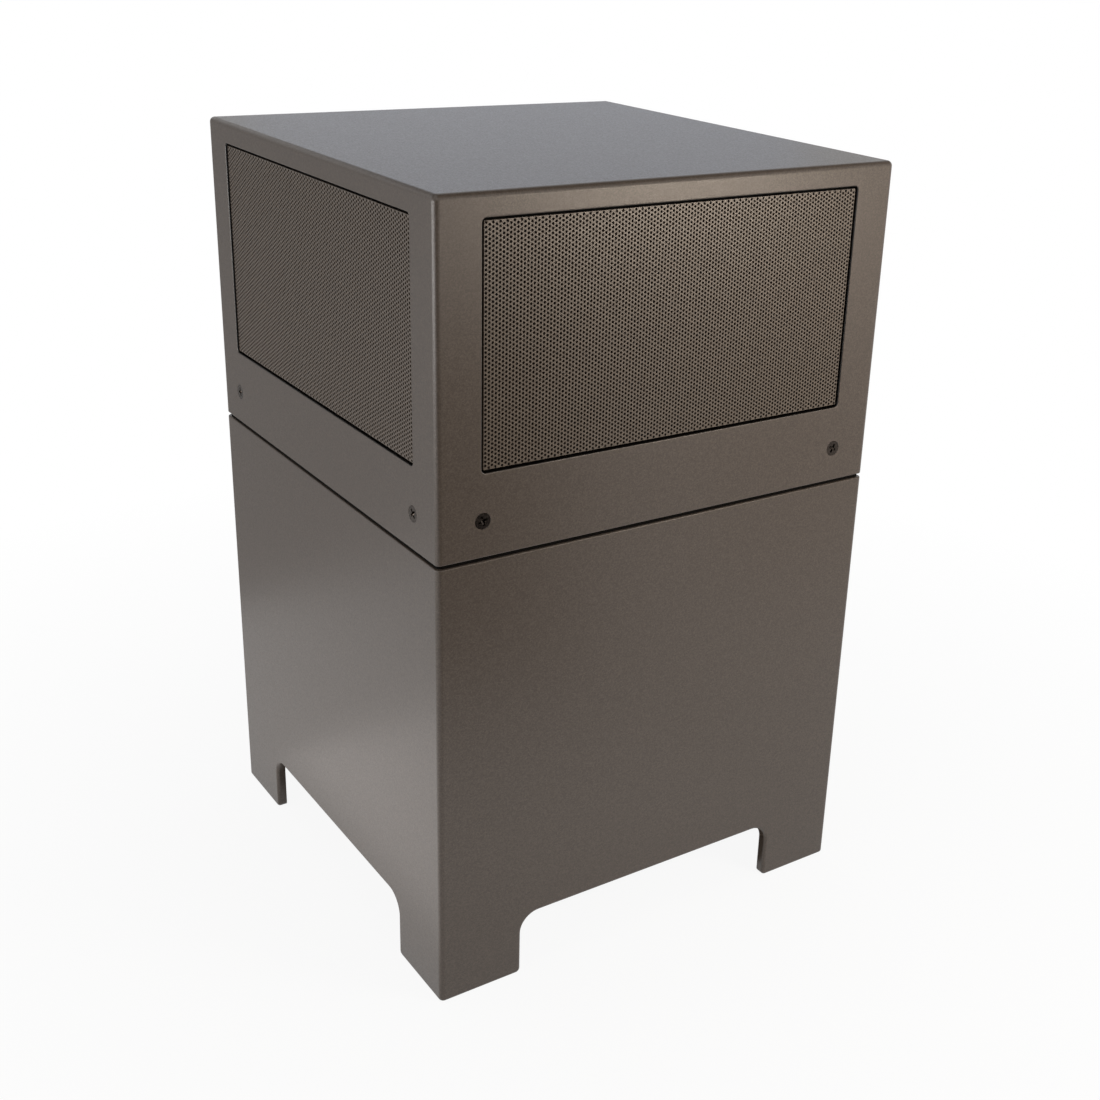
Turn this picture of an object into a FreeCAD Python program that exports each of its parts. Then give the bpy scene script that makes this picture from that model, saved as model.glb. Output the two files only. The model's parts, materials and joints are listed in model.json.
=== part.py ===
import FreeCAD, Part
import math
import os
from collections import namedtuple

os.makedirs("parts", exist_ok=True)

# A square pedestal loudspeaker. A plate-metal head with a perforated grille in each side stands over
# a dark shadow line on a base cabinet with four corner legs. Millimetres, +Z up, the origin at the
# centre of the footprint on the floor, and the front at -Y.

# Shells of the base and the head
width = 304.8                    # side of the square footprint
base_height = 284.3              # floor to the top edge of the base
shadow_gap = 2.2                 # dark line between the base and the head
shadow_depth = 1.5               # spacer in that line behind the faces of the shells
head_height = 196.1              # lower edge of the head to its top
wall = 6.35                      # plate that both shells are welded from
edge_radius = 3.175              # upright edges and the rim of the top
seam_edge_radius = 0.8           # edges above and below the shadow gap

# Legs, left by a cut-out in each side of the base
leg_width = 55.5
cut_height = 41.5
cut_corner_radius = 12.7         # upper corners of each cut-out
foot_corner_radius = 3.2         # lower corners of the legs, seen from the side
foot_edge_radius = 2.0           # outer edge of the cut-outs and feet

# Grille windows in the head
window_side_margin = 27.0
window_top_margin = 13.1
window_bottom_margin = 48.4
window_corner_radius = 2.5
window_edge_radius = 0.8

# Perforated grille panels. The drawn holes keep the sheet's open area and stagger, enlarged.
grille_gap = 1.5                 # open line round each panel
grille_setback = 1.0             # face of the panel behind the face of the head
grille_sheet = 1.6
grille_border = 2.5              # least plain edge outside the holes
grille_least_corner = 0.5        # least radius of the panel's corners
hole_pitch = 2.381               # real distance between hole centres
hole_diameter = 1.588            # real hole
hole_enlargement = 8.0           # drawn size of the pattern over the real one

# Frames that hold the grilles off the baffles, with push-in pegs
grille_frame_width = 8.0
peg_diameter = 5.0
peg_length = 8.0
peg_clearance = 0.15

# Countersunk screws that hold the head to the chassis
head_screw_inset = 27.7          # from each upright edge of the head
head_screw_height = 21.3         # above the head's lower edge
head_screw_head = 9.6
head_screw_shank = 5.0
head_screw_length = 16.0
head_screw_sink = 0.1            # head below the face of the shell

# Chassis frame, deck and ledges
slip = 0.25                      # inner pieces inside the shells, each side
chassis_sheet = 3.0
chassis_flange = 18.0
chassis_rise = 33.4              # top of the chassis above the head's lower edge
deck_thickness = 6.35
deck_drop = 19.0                 # top of the deck below the base's top edge
ledge_width = 18.0
ledge_thickness = 6.0

# Baffle box in the head
baffle_board = 15.0
baffle_clearance = 0.5           # between the head's walls and the box
lid_clearance = 1.0              # between the head's top and the box
glue_line = 0.1

# Bottom board, woofer place and terminal cup
bottom_board_thickness = 15.0
woofer_lift = 8.0                # woofer's rim above the top of the cut-outs
woofer_side_margin = 41.5        # woofer's rim to the inside of the walls
cup_inset = 44.0                 # cup's axis from the inside of two walls
cup_diameter = 44.0
cup_rim = 4.0
cup_wall = 2.5
cup_depth = 25.0
post_diameter = 11.0
post_waist_diameter = 8.8
post_length = 16.0
post_spacing = 19.0
post_stud_diameter = 4.0
post_stud_length = 12.0

# Crossover panel on the deck
panel_length = 150.0
panel_depth = 110.0
panel_thickness = 6.0
coil_outer_diameter = 62.0
coil_bore_diameter = 28.0
coil_height = 24.0
capacitor_diameter = 30.0
capacitor_height = 42.0
component_end_margin = 35.0      # components' axes from the panel's ends
capacitor_side_margin = 33.0     # capacitors' axes from the panel's long edges

# Wide-band drivers, one behind each grille
driver_margin = 0.25             # driver's rim inside the opening of the grille frame
driver_flange_thickness = 4.0
driver_land = 5.5                # width of the rim that takes the screws
driver_lip = 3.0
driver_roll = 6.0
driver_cone_depth = 18.0
driver_coil_diameter = 26.0
driver_cap_overlap = 4.0
driver_cap_rise = 5.0
driver_spider_drop = 4.0
driver_cup_room = 14.0
driver_cup_depth = 10.0
driver_magnet_diameter = 80.0
driver_magnet_thickness = 15.0
driver_plate = 5.0

# Woofer in the bottom board
woofer_flange_thickness = 6.0
woofer_land = 8.0
woofer_lip = 5.0
woofer_roll = 14.0
woofer_cone_depth = 34.0
woofer_coil_diameter = 38.0
woofer_cap_overlap = 9.0
woofer_cap_rise = 9.0
woofer_spider_drop = 5.0
woofer_cup_room = 24.0
woofer_cup_depth = 14.0
woofer_magnet_diameter = 115.0
woofer_magnet_thickness = 20.0
woofer_plate = 6.0

# Sheet and gaps that every driver shares
rim_rebate = 1.5                 # seat of the surround below the rim's face
basket_sheet = 2.0
surround_sheet = 0.8
cone_paper = 1.4
coil_wall = 0.7
coil_gap = 0.7                   # coil to the magnet's plate and pole
coil_reach = 3.0                 # coil past the far side of the magnet's front plate
spider_sheet = 0.8
spider_ridge = 2.0
spider_ridge_share = 0.4         # part of the spider's free width that its ridge takes
landing_width = 6.0              # ledge in the basket that the spider is glued to
basket_window_count = 6
basket_window_share = 0.6        # part of the basket's girth that is open
basket_window_edge = 2.0
seat_clearance = 0.3             # driver's rim in its rebate, and body in its hole

# Screws for the drivers, the woofer and the frame
driver_screw_shank = 3.5
driver_screw_head = 5.0
driver_screw_length = 16.0
driver_screw_count = 4
woofer_screw_shank = 4.5
woofer_screw_head = 7.5
woofer_screw_length = 18.0
woofer_screw_count = 8
frame_screw_shank = 4.0
frame_screw_head = 8.0
frame_screw_length = 20.0
frame_screw_spread = 60.0        # along each side, from its middle
frame_screw_room = 1.0           # screw heads clear of the chassis wall
pan_head_share = 0.35            # height of a pan head over its diameter
screw_clearance = 0.1            # radial, in every screw hole

# Places that follow from the driving dimensions
origin = FreeCAD.Vector(0, 0, 0)
across = FreeCAD.Vector(1, 0, 0)
up = FreeCAD.Vector(0, 0, 1)
side_turn = {"front": 0, "right": 90, "back": 180, "left": 270}
tolerance = 1e-4
overshoot = 5.0                  # how far cutting shapes stand past what they cut

half_width = width / 2
inner_width = width - 2 * wall
head_low = base_height + shadow_gap
head_screw_level = head_low + head_screw_height
head_top = head_low + head_height
window_width = width - 2 * window_side_margin
window_low = head_low + window_bottom_margin
window_high = head_top - window_top_margin
window_height = window_high - window_low
window_middle = (window_low + window_high) / 2
grille_width = window_width - 2 * grille_gap
grille_height = window_height - 2 * grille_gap
grille_corner_radius = max(window_corner_radius - grille_gap, grille_least_corner)

fitted_width = inner_width - 2 * slip
chassis_inner = fitted_width - 2 * chassis_sheet
deck_top = base_height - deck_drop
deck_low = deck_top - deck_thickness
chassis_top = head_low + chassis_rise
frame_screw_row = chassis_inner / 2 - frame_screw_head / 2 - frame_screw_room

box_width = inner_width - 2 * baffle_clearance
box_inner = box_width - 2 * baffle_board
box_top = head_top - wall - lid_clearance
baffle_depth = wall + baffle_clearance
frame_front_depth = grille_setback + grille_sheet
frame_thickness = baffle_depth - frame_front_depth
peg_column = grille_width / 2 - grille_frame_width / 2
peg_row = grille_height / 2 - grille_frame_width / 2

board_low = cut_height + woofer_lift + woofer_flange_thickness
board_top = board_low + bottom_board_thickness
board_screw_row = inner_width / 2 - ledge_width / 2
cup_place = inner_width / 2 - cup_inset

driver_diameter = grille_height - 2 * grille_frame_width - 2 * driver_margin
woofer_diameter = inner_width - 2 * woofer_side_margin


def vector(x, y, z=0.0):
    """A point or direction."""
    return FreeCAD.Vector(x, y, z)


def centred_box(size, low, high):
    """A square block centred on the upright axis between two heights."""
    return Part.makeBox(size, size, high - low, vector(-size / 2, -size / 2, low))


def square_ring(outer, inner, low, high):
    """A square tube centred on the upright axis between two heights."""
    ring = centred_box(outer, low, high)
    return ring.cut(centred_box(inner, low - overshoot, high + overshoot))


def cylinder(diameter, low, high, x=0.0, y=0.0):
    """An upright round bar between two heights."""
    return Part.makeCylinder(diameter / 2, high - low, vector(x, y, low))


def on_side(shape, side, height, depth):
    """Stands a shape drawn with x across, y up and z outward behind the outer face of one side."""
    placed = shape.copy()
    placed.rotate(origin, across, 90)
    placed.translate(vector(0, depth - half_width, height))
    placed.rotate(origin, up, side_turn[side])
    return placed


def edges_at(shape, height):
    """The edges that lie at one height."""
    return [edge for edge in shape.Edges
            if abs(edge.BoundBox.ZMin - height) < tolerance
            and abs(edge.BoundBox.ZMax - height) < tolerance]


def upright_edges(shape):
    """The straight upright edges of a block."""
    return [edge for edge in shape.Edges
            if edge.BoundBox.XLength < tolerance and edge.BoundBox.YLength < tolerance]


def outer_edges(shape, low, high):
    """The edges on the outer faces of a shell that lie wholly between two heights."""
    chosen = []
    for edge in shape.Edges:
        inside = edge.BoundBox.ZMin > low - tolerance and edge.BoundBox.ZMax < high + tolerance
        reach = min(max(abs(point.X), abs(point.Y)) for point in edge.Vertexes)
        if inside and reach > half_width - tolerance:
            chosen.append(edge)
    return chosen


def rounded_rectangle(size_x, size_y, radius):
    """A closed outline with rounded corners, centred in the XY plane."""
    half_x = size_x / 2
    half_y = size_y / 2
    bend = radius * (1 - math.sqrt(0.5))
    edges = []
    for turn in range(4):
        reach, rise = (half_x, half_y) if turn % 2 == 0 else (half_y, half_x)
        side = Part.LineSegment(vector(reach, radius - rise), vector(reach, rise - radius)).toShape()
        corner = Part.Arc(vector(reach, rise - radius), vector(reach - bend, rise - bend),
                          vector(reach - radius, rise)).toShape()
        for edge in (side, corner):
            edge.rotate(origin, up, 90 * turn)
            edges.append(edge)
    return Part.Wire(Part.__sortEdges__(edges))


def plate(outline, low, high, openings=()):
    """A flat plate with an outline and openings drawn in the XY plane."""
    face = Part.makeFace([outline, *openings], "Part::FaceMakerBullseye")
    face.translate(vector(0, 0, low))
    return face.extrude(vector(0, 0, high - low))


def revolved(points):
    """A solid of revolution about Z from an outline of (radius, height) points."""
    corners = [vector(radius, 0, height) for radius, height in points]
    outline = Part.makePolygon(corners + corners[:1])
    return Part.Face(outline).revolve(origin, up, 360)


def ring_places(row, spread):
    """Two places on each side of a square, at a distance from the axis and from the side's middle."""
    places = []
    for turn in range(4):
        for shift in (-spread, spread):
            place = vector(shift, -row)
            places.append(FreeCAD.Rotation(up, 90 * turn).multVec(place))
    return places


# Shells

def foot_cutter():
    """The cut-out of one side, drawn with x across and y up, run right through the base."""
    side = half_width - leg_width
    root = side + foot_corner_radius
    shoulder = side - cut_corner_radius
    foot_bend = foot_corner_radius * (1 - math.sqrt(0.5))
    cut_bend = cut_corner_radius * (1 - math.sqrt(0.5))
    half = [
        Part.LineSegment(vector(root, -overshoot), vector(root, 0)),
        Part.Arc(vector(root, 0), vector(side + foot_bend, foot_bend), vector(side, foot_corner_radius)),
        Part.LineSegment(vector(side, foot_corner_radius), vector(side, cut_height - cut_corner_radius)),
        Part.Arc(vector(side, cut_height - cut_corner_radius),
                 vector(side - cut_bend, cut_height - cut_bend), vector(shoulder, cut_height)),
    ]
    edges = [curve.toShape() for curve in half]
    edges += [edge.mirror(origin, across) for edge in edges]
    edges.append(Part.LineSegment(vector(shoulder, cut_height), vector(-shoulder, cut_height)).toShape())
    edges.append(Part.LineSegment(vector(root, -overshoot), vector(-root, -overshoot)).toShape())
    outline = Part.Wire(Part.__sortEdges__(edges))
    return plate(outline, -width - overshoot, overshoot)


def base_shell():
    """Four welded walls with a foot cut-out in each."""
    shell = centred_box(width, 0, base_height)
    shell = shell.makeFillet(edge_radius, upright_edges(shell))
    shell = shell.makeFillet(seam_edge_radius, edges_at(shell, base_height))
    shell = shell.cut(centred_box(inner_width, -overshoot, base_height + overshoot))
    cutter = foot_cutter()
    shell = shell.cut([on_side(cutter, "front", 0, 0), on_side(cutter, "right", 0, 0)])
    return shell.makeFillet(foot_edge_radius, outer_edges(shell, 0, cut_height))


def base_ledges():
    """Two rings of flat bar bonded inside the base, one over the bottom board and one under the deck."""
    ledges = []
    for low, row in ((board_top, board_screw_row), (deck_low - ledge_thickness, frame_screw_row)):
        high = low + ledge_thickness
        ring = square_ring(inner_width - 2 * glue_line, inner_width - 2 * ledge_width, low, high)
        ledges.append(ring.cut(frame_screw_holes(row, low, high)))
    return Part.makeCompound(ledges)


def head_shell():
    """The welded top and walls of the head, with a window and two countersunk holes in each side."""
    shell = centred_box(width, head_low, head_top)
    shell = shell.makeFillet(edge_radius, upright_edges(shell) + edges_at(shell, head_top))
    shell = shell.makeFillet(seam_edge_radius, edges_at(shell, head_low))
    shell = shell.cut(centred_box(inner_width, head_low - overshoot, head_top - wall))
    window = plate(rounded_rectangle(window_width, window_height, window_corner_radius),
                   -wall - overshoot, overshoot)
    shell = shell.cut([on_side(window, side, window_middle, 0) for side in side_turn])
    shell = shell.makeFillet(window_edge_radius, outer_edges(shell, window_low, window_high))
    sinks = []
    for side in side_turn:
        for column in (-1, 1):
            sink = countersunk(screw_clearance)
            mouth = cylinder(head_screw_head + 2 * screw_clearance, -head_screw_sink, overshoot)
            for tool in (sink, mouth):
                tool.translate(vector(column * (half_width - head_screw_inset), 0))
                sinks.append(on_side(tool, side, head_screw_level, 0))
    return shell.cut(sinks)


def countersunk(clearance):
    """A countersunk screw, or its hole where there is a clearance round it, with the face at z = 0."""
    head = head_screw_head / 2 + clearance
    shank = head_screw_shank / 2 + clearance
    shoulder = -head_screw_sink - (head - shank)
    end = -head_screw_length - clearance
    return revolved([(0, -head_screw_sink), (head, -head_screw_sink), (shank, shoulder),
                     (shank, end), (0, end)])


def head_screws():
    """Two countersunk screws low on each side of the head."""
    screws = []
    for side in side_turn:
        for column in (-1, 1):
            screw = countersunk(0)
            screw.translate(vector(column * (half_width - head_screw_inset), 0))
            screws.append(on_side(screw, side, head_screw_level, 0))
    return Part.makeCompound(screws)


# Grilles

def hexagon(x, y, diameter):
    """A hexagonal hole with two level sides and the area of a round hole of the diameter."""
    radius = diameter / 2 * math.sqrt(2 * math.pi / (3 * math.sqrt(3)))
    turns = [math.radians(60 * k) for k in range(6)]
    corners = [vector(x + radius * math.cos(turn), y + radius * math.sin(turn)) for turn in turns]
    return Part.makePolygon(corners + corners[:1])


def perforation():
    """Staggered columns of holes, close-packed up the panel and centred on it."""
    pitch = hole_pitch * hole_enlargement
    hole = hole_diameter * hole_enlargement
    column_step = pitch * math.sqrt(3) / 2
    reach_x = grille_width - 2 * grille_border - hole * 2 / math.sqrt(3)
    reach_y = grille_height - 2 * grille_border - hole
    columns = int(reach_x / column_step) + 1
    rows = int(reach_y / pitch) + 1
    holes = []
    for column in range(columns):
        count = rows - column % 2
        x = (column - (columns - 1) / 2) * column_step
        for row in range(count):
            y = (row - (count - 1) / 2) * pitch
            holes.append(hexagon(x, y, hole))
    return holes


def grille():
    """A perforated panel, drawn with its face at z = 0."""
    outline = rounded_rectangle(grille_width, grille_height, grille_corner_radius)
    return plate(outline, -grille_sheet, 0, perforation())


def grille_frame():
    """A rim behind the panel with a peg at each corner, drawn with its face at z = 0."""
    outline = rounded_rectangle(grille_width, grille_height, grille_corner_radius)
    opening = rounded_rectangle(grille_width - 2 * grille_frame_width, grille_height - 2 * grille_frame_width,
                                grille_corner_radius)
    frame = plate(outline, -frame_thickness, 0, [opening])
    pegs = [cylinder(peg_diameter, -frame_thickness - peg_length, -frame_thickness, x, y)
            for x in (-peg_column, peg_column) for y in (-peg_row, peg_row)]
    return frame.fuse(pegs)


# Chassis, deck and carcass

def pan_screw(head, shank, length):
    """A pan-head screw, drawn pointing down with the underside of its head at z = 0."""
    rise = head * pan_head_share
    return revolved([(0, rise), (head / 2 - rise / 2, rise), (head / 2, rise / 2), (head / 2, 0),
                     (shank / 2, 0), (shank / 2, -length), (0, -length)])


def frame_screw_holes(row, low, high):
    """Holes for the frame screws in a row on each side, between two heights."""
    size = frame_screw_shank + 2 * screw_clearance
    return [cylinder(size, low, high, place.x, place.y) for place in ring_places(row, frame_screw_spread)]


def frame_screws():
    """The screws through the chassis and deck, up into the baffle box, and up into the lower ledge."""
    down = pan_screw(frame_screw_head, frame_screw_shank, frame_screw_length)
    upward = down.copy()
    upward.rotate(origin, across, 180)
    rows = [(down, frame_screw_row, deck_top + chassis_sheet),
            (upward, frame_screw_row, chassis_top - chassis_sheet),
            (upward, board_screw_row, board_low)]
    screws = []
    for screw, row, height in rows:
        for place in ring_places(row, frame_screw_spread):
            placed = screw.copy()
            placed.translate(vector(place.x, place.y, height))
            screws.append(placed)
    return Part.makeCompound(screws)


def deck_plate():
    """The plate on the upper ledge that closes the base cabinet."""
    deck = centred_box(fitted_width, deck_low, deck_top)
    return deck.cut(frame_screw_holes(frame_screw_row, deck_low, deck_top))


def chassis_frame():
    """A folded channel ring that stands on the deck and takes the head screws, with the spacer between
    the two shells welded round it."""
    frame = square_ring(fitted_width, chassis_inner, deck_top, chassis_top)
    spacer_width = width - 2 * shadow_depth
    spacer = plate(rounded_rectangle(spacer_width, spacer_width, edge_radius), base_height, head_low)
    frame = frame.fuse(spacer.cut(centred_box(chassis_inner, base_height - overshoot, head_low + overshoot)))
    opening = chassis_inner - 2 * chassis_flange
    for low in (deck_top, chassis_top - chassis_sheet):
        frame = frame.fuse(square_ring(chassis_inner, opening, low, low + chassis_sheet))
    holes = frame_screw_holes(frame_screw_row, deck_top, chassis_top)
    for side in side_turn:
        for column in (-1, 1):
            hole = cylinder(head_screw_shank + 2 * screw_clearance, -wall - slip - chassis_sheet - overshoot,
                            -wall, column * (half_width - head_screw_inset), 0)
            holes.append(on_side(hole, side, head_screw_level, 0))
    return frame.cut(holes).removeSplitter()


def driver_screw_places(diameter, land, count):
    """Screw places round a driver's rim, the first half a step from the x axis."""
    radius = diameter / 2 - land / 2
    angles = [math.radians(360 * (k + 0.5) / count) for k in range(count)]
    return [(radius * math.cos(angle), radius * math.sin(angle)) for angle in angles]


def baffle_box():
    """Four glued boards with a rebated driver hole and four peg holes in each."""
    box = square_ring(box_width, box_inner, chassis_top, box_top)
    screw_hole = driver_screw_shank + 2 * screw_clearance
    screw_end = -driver_screw_length - screw_clearance
    cuts = []
    for side in side_turn:
        tools = [cylinder(driver_diameter + 2 * seat_clearance, -driver_flange_thickness, overshoot),
                 cylinder(basket_body_diameter(wide_band) + 2 * seat_clearance, -baffle_board - overshoot, 0)]
        tools += [cylinder(peg_diameter + 2 * peg_clearance, -peg_length - peg_clearance, overshoot, x, y)
                  for x in (-peg_column, peg_column) for y in (-peg_row, peg_row)]
        tools += [cylinder(screw_hole, screw_end, 0, x, y)
                  for x, y in driver_screw_places(driver_diameter, driver_land, driver_screw_count)]
        cuts += [on_side(tool, side, window_middle, baffle_depth) for tool in tools]
    cuts += frame_screw_holes(frame_screw_row, chassis_top - overshoot,
                              chassis_top - chassis_sheet + frame_screw_length + screw_clearance)
    return box.cut(cuts)


def baffle_lid():
    """The board glued into the top of the baffle box."""
    return centred_box(box_inner - 2 * glue_line, box_top - baffle_board, box_top)


def bottom_board():
    """The board under the lower ledge, with the woofer's hole and the terminal cup's hole."""
    board = centred_box(fitted_width, board_low, board_top)
    holes = frame_screw_holes(board_screw_row, board_low, board_top)
    holes.append(cylinder(basket_body_diameter(woofer) + 2 * seat_clearance, board_low, board_top))
    holes.append(cylinder(cup_diameter + 2 * seat_clearance, board_low, board_top, cup_place, cup_place))
    for x, y in driver_screw_places(woofer_diameter, woofer_land, woofer_screw_count):
        holes.append(cylinder(woofer_screw_shank + 2 * screw_clearance, board_low, board_top, x, y))
    return board.cut(holes)


def terminal_cup():
    """A round cup let into the bottom board, open downwards, with a hole for each binding post."""
    rim = cup_diameter / 2 + cup_rim
    body = cup_diameter / 2
    cup = revolved([(0, cup_depth), (body, cup_depth), (body, 0), (rim, 0), (rim, -cup_wall),
                    (body - cup_wall, -cup_wall), (body - cup_wall, cup_depth - cup_wall),
                    (0, cup_depth - cup_wall)])
    holes = [cylinder(post_stud_diameter + 2 * screw_clearance, 0, cup_depth + overshoot, x, 0)
             for x in (-post_spacing / 2, post_spacing / 2)]
    cup = cup.cut(holes)
    cup.translate(vector(cup_place, cup_place, board_low))
    return cup


def binding_posts():
    """Two posts that hang in the cup, with a waisted knob below and a stud through the cup's end."""
    knob = post_diameter / 2
    waist = post_waist_diameter / 2
    stud = post_stud_diameter / 2
    posts = []
    for x in (-post_spacing / 2, post_spacing / 2):
        post = revolved([(0, -post_length), (knob, -post_length), (knob, -post_length / 2),
                         (waist, -post_length / 2 + knob - waist), (waist, 0), (stud, 0),
                         (stud, post_stud_length), (0, post_stud_length)])
        post.translate(vector(cup_place + x, cup_place, board_low + cup_depth - cup_wall))
        posts.append(post)
    return Part.makeCompound(posts)


# Crossover

def crossover_panel():
    """The panel that lies on the deck."""
    return Part.makeBox(panel_length, panel_depth, panel_thickness,
                        vector(-panel_length / 2, -panel_depth / 2, deck_top))


def inductor_coil():
    """An air-cored coil that stands on the panel."""
    low = deck_top + panel_thickness
    column = component_end_margin - panel_length / 2
    coil = cylinder(coil_outer_diameter, low, low + coil_height, column)
    return coil.cut(cylinder(coil_bore_diameter, low, low + coil_height, column))


def capacitors():
    """Two capacitors that stand on the panel beside the coil."""
    low = deck_top + panel_thickness
    column = panel_length / 2 - component_end_margin
    row = panel_depth / 2 - capacitor_side_margin
    return Part.makeCompound([cylinder(capacitor_diameter, low, low + capacitor_height, column, y)
                              for y in (-row, row)])


# Drivers

Driver = namedtuple("Driver", [
    "diameter", "flange", "land", "lip", "roll", "cone_depth", "coil_diameter", "cap_overlap", "cap_rise",
    "spider_drop", "cup_room", "cup_depth", "magnet_diameter", "magnet_thickness", "plate",
    "screw_shank", "screws"])

wide_band = Driver(
    driver_diameter, driver_flange_thickness, driver_land, driver_lip, driver_roll, driver_cone_depth,
    driver_coil_diameter, driver_cap_overlap, driver_cap_rise, driver_spider_drop, driver_cup_room,
    driver_cup_depth, driver_magnet_diameter, driver_magnet_thickness, driver_plate,
    driver_screw_shank, driver_screw_count)

woofer = Driver(
    woofer_diameter, woofer_flange_thickness, woofer_land, woofer_lip, woofer_roll, woofer_cone_depth,
    woofer_coil_diameter, woofer_cap_overlap, woofer_cap_rise, woofer_spider_drop, woofer_cup_room,
    woofer_cup_depth, woofer_magnet_diameter, woofer_magnet_thickness, woofer_plate,
    woofer_screw_shank, woofer_screw_count)

Radii = namedtuple("Radii", ["rim", "rebate", "lip", "roll_out", "roll_in", "cone", "neck", "coil",
                             "cup", "step", "bore"])
Levels = namedtuple("Levels", ["seat", "neck", "step", "rear", "plate", "magnet", "back"])


def driver_radii(size):
    """Radii of a driver from its rim inwards, and from its coil outwards."""
    rim = size.diameter / 2
    rebate = rim - size.land
    lip = rebate - glue_line
    roll_out = lip - size.lip
    roll_in = roll_out - size.roll
    coil = size.coil_diameter / 2
    cup = coil + size.cup_room
    return Radii(rim, rebate, lip, roll_out, roll_in, roll_in - size.lip, coil + glue_line, coil,
                 cup, cup + landing_width, coil + 2 * coil_gap)


def driver_levels(size):
    """Heights of a driver's seats behind the face of its rim, from front to back."""
    seat = -rim_rebate
    neck = seat - size.cone_depth
    step = neck - cone_paper - size.spider_drop - basket_sheet
    rear = step - size.cup_depth
    plate_back = rear - size.plate
    magnet_back = plate_back - size.magnet_thickness
    return Levels(seat, neck, step, rear, plate_back, magnet_back, magnet_back - size.plate)


def basket_body_diameter(size):
    """Diameter of the basket behind its rim."""
    return 2 * (driver_radii(size).roll_out + basket_sheet)


def basket(size):
    """The pressed basket: rim with a rebate, open conical wall, spider ledge and rear cup."""
    r = driver_radii(size)
    z = driver_levels(size)
    body = revolved([
        (r.rim, 0), (r.rim, -size.flange), (r.roll_out + basket_sheet, -size.flange), (r.step, z.step),
        (r.cup, z.step), (r.cup, z.rear), (r.bore, z.rear), (r.bore, z.rear + basket_sheet),
        (r.cup - basket_sheet, z.rear + basket_sheet), (r.cup - basket_sheet, z.step + basket_sheet),
        (r.step - basket_sheet, z.step + basket_sheet), (r.roll_out, -size.flange),
        (r.roll_out, z.seat), (r.rebate, z.seat), (r.rebate, 0)])
    low = z.step + basket_sheet + basket_window_edge
    high = -size.flange - basket_window_edge
    half_angle = math.radians(180 * basket_window_share / basket_window_count)
    inner = r.cup
    outer = r.rim
    corners = [vector(radius * math.cos(angle), radius * math.sin(angle), low)
               for radius, angle in ((inner, -half_angle), (outer, -half_angle),
                                     (outer, half_angle), (inner, half_angle))]
    opening = Part.Face(Part.makePolygon(corners + corners[:1])).extrude(vector(0, 0, high - low))
    cuts = []
    for k in range(basket_window_count):
        turned = opening.copy()
        turned.rotate(origin, up, 360 * k / basket_window_count)
        cuts.append(turned)
    for x, y in driver_screw_places(size.diameter, size.land, size.screws):
        cuts.append(cylinder(size.screw_shank + 2 * screw_clearance, -size.flange, 0, x, y))
    return body.cut(cuts)


def magnet(size):
    """The motor: front plate, ring magnet and back plate with the pole, round an open air gap."""
    r = driver_radii(size)
    z = driver_levels(size)
    ring = size.magnet_diameter / 2
    plates = ring - size.plate
    pole = r.coil - coil_wall - coil_gap
    gap = r.coil + coil_gap
    hollow = gap + size.plate
    return revolved([
        (0, z.rear), (pole, z.rear), (pole, z.magnet), (hollow, z.magnet), (hollow, z.plate), (gap, z.plate),
        (gap, z.rear), (plates, z.rear), (plates, z.plate), (ring, z.plate), (ring, z.magnet),
        (plates, z.magnet), (plates, z.back), (0, z.back)])


def voice_coil(size):
    """The coil on its former, from the neck of the cone into the air gap."""
    r = driver_radii(size)
    z = driver_levels(size)
    low = z.plate - coil_reach
    return revolved([(r.coil - coil_wall, low), (r.coil, low), (r.coil, z.neck), (r.coil - coil_wall, z.neck)])


def spider(size):
    """The sprung ring between the coil and its ledge in the basket, with one ridge."""
    r = driver_radii(size)
    z = driver_levels(size)
    low = z.step + basket_sheet
    inner = r.coil + glue_line
    outer = r.step - basket_sheet - glue_line
    edge = r.cup - basket_sheet - glue_line
    middle = (inner + edge) / 2
    foot = (edge - inner) * spider_ridge_share / 2
    profile = [(inner, 0), (middle - foot, 0), (middle, spider_ridge), (middle + foot, 0), (outer, 0)]
    lower = [(radius, low + height) for radius, height in profile]
    upper = [(radius, height + spider_sheet) for radius, height in reversed(lower)]
    return revolved(lower + upper)


def cone(size):
    """The paper cone with a flat rim for the surround."""
    r = driver_radii(size)
    z = driver_levels(size)
    return revolved([(r.roll_in, z.seat), (r.cone, z.seat), (r.neck, z.neck), (r.neck, z.neck - cone_paper),
                     (r.cone, z.seat - cone_paper), (r.roll_in, z.seat - cone_paper)])


def surround(size):
    """The half-round roll between the cone's rim and the basket's rebate."""
    r = driver_radii(size)
    low = driver_levels(size).seat
    high = low + surround_sheet
    middle = (r.roll_in + r.roll_out) / 2
    crown = low + size.roll / 2
    lip_in = (r.cone, r.roll_in + surround_sheet)
    lip_out = (r.roll_out - surround_sheet, r.lip)
    under = Part.Arc(vector(lip_in[1], 0, low), vector(middle, 0, crown - surround_sheet),
                     vector(lip_out[0], 0, low))
    over = Part.Arc(vector(r.roll_in, 0, high), vector(middle, 0, crown), vector(r.roll_out, 0, high))
    edges = [
        Part.LineSegment(vector(lip_in[0], 0, low), vector(lip_in[1], 0, low)), under,
        Part.LineSegment(vector(lip_out[0], 0, low), vector(lip_out[1], 0, low)),
        Part.LineSegment(vector(lip_out[1], 0, low), vector(lip_out[1], 0, high)),
        Part.LineSegment(vector(lip_out[1], 0, high), vector(r.roll_out, 0, high)), over,
        Part.LineSegment(vector(r.roll_in, 0, high), vector(lip_in[0], 0, high)),
        Part.LineSegment(vector(lip_in[0], 0, high), vector(lip_in[0], 0, low))]
    outline = Part.Wire(Part.__sortEdges__([edge.toShape() for edge in edges]))
    return Part.Face(outline).revolve(origin, up, 360)


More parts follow.
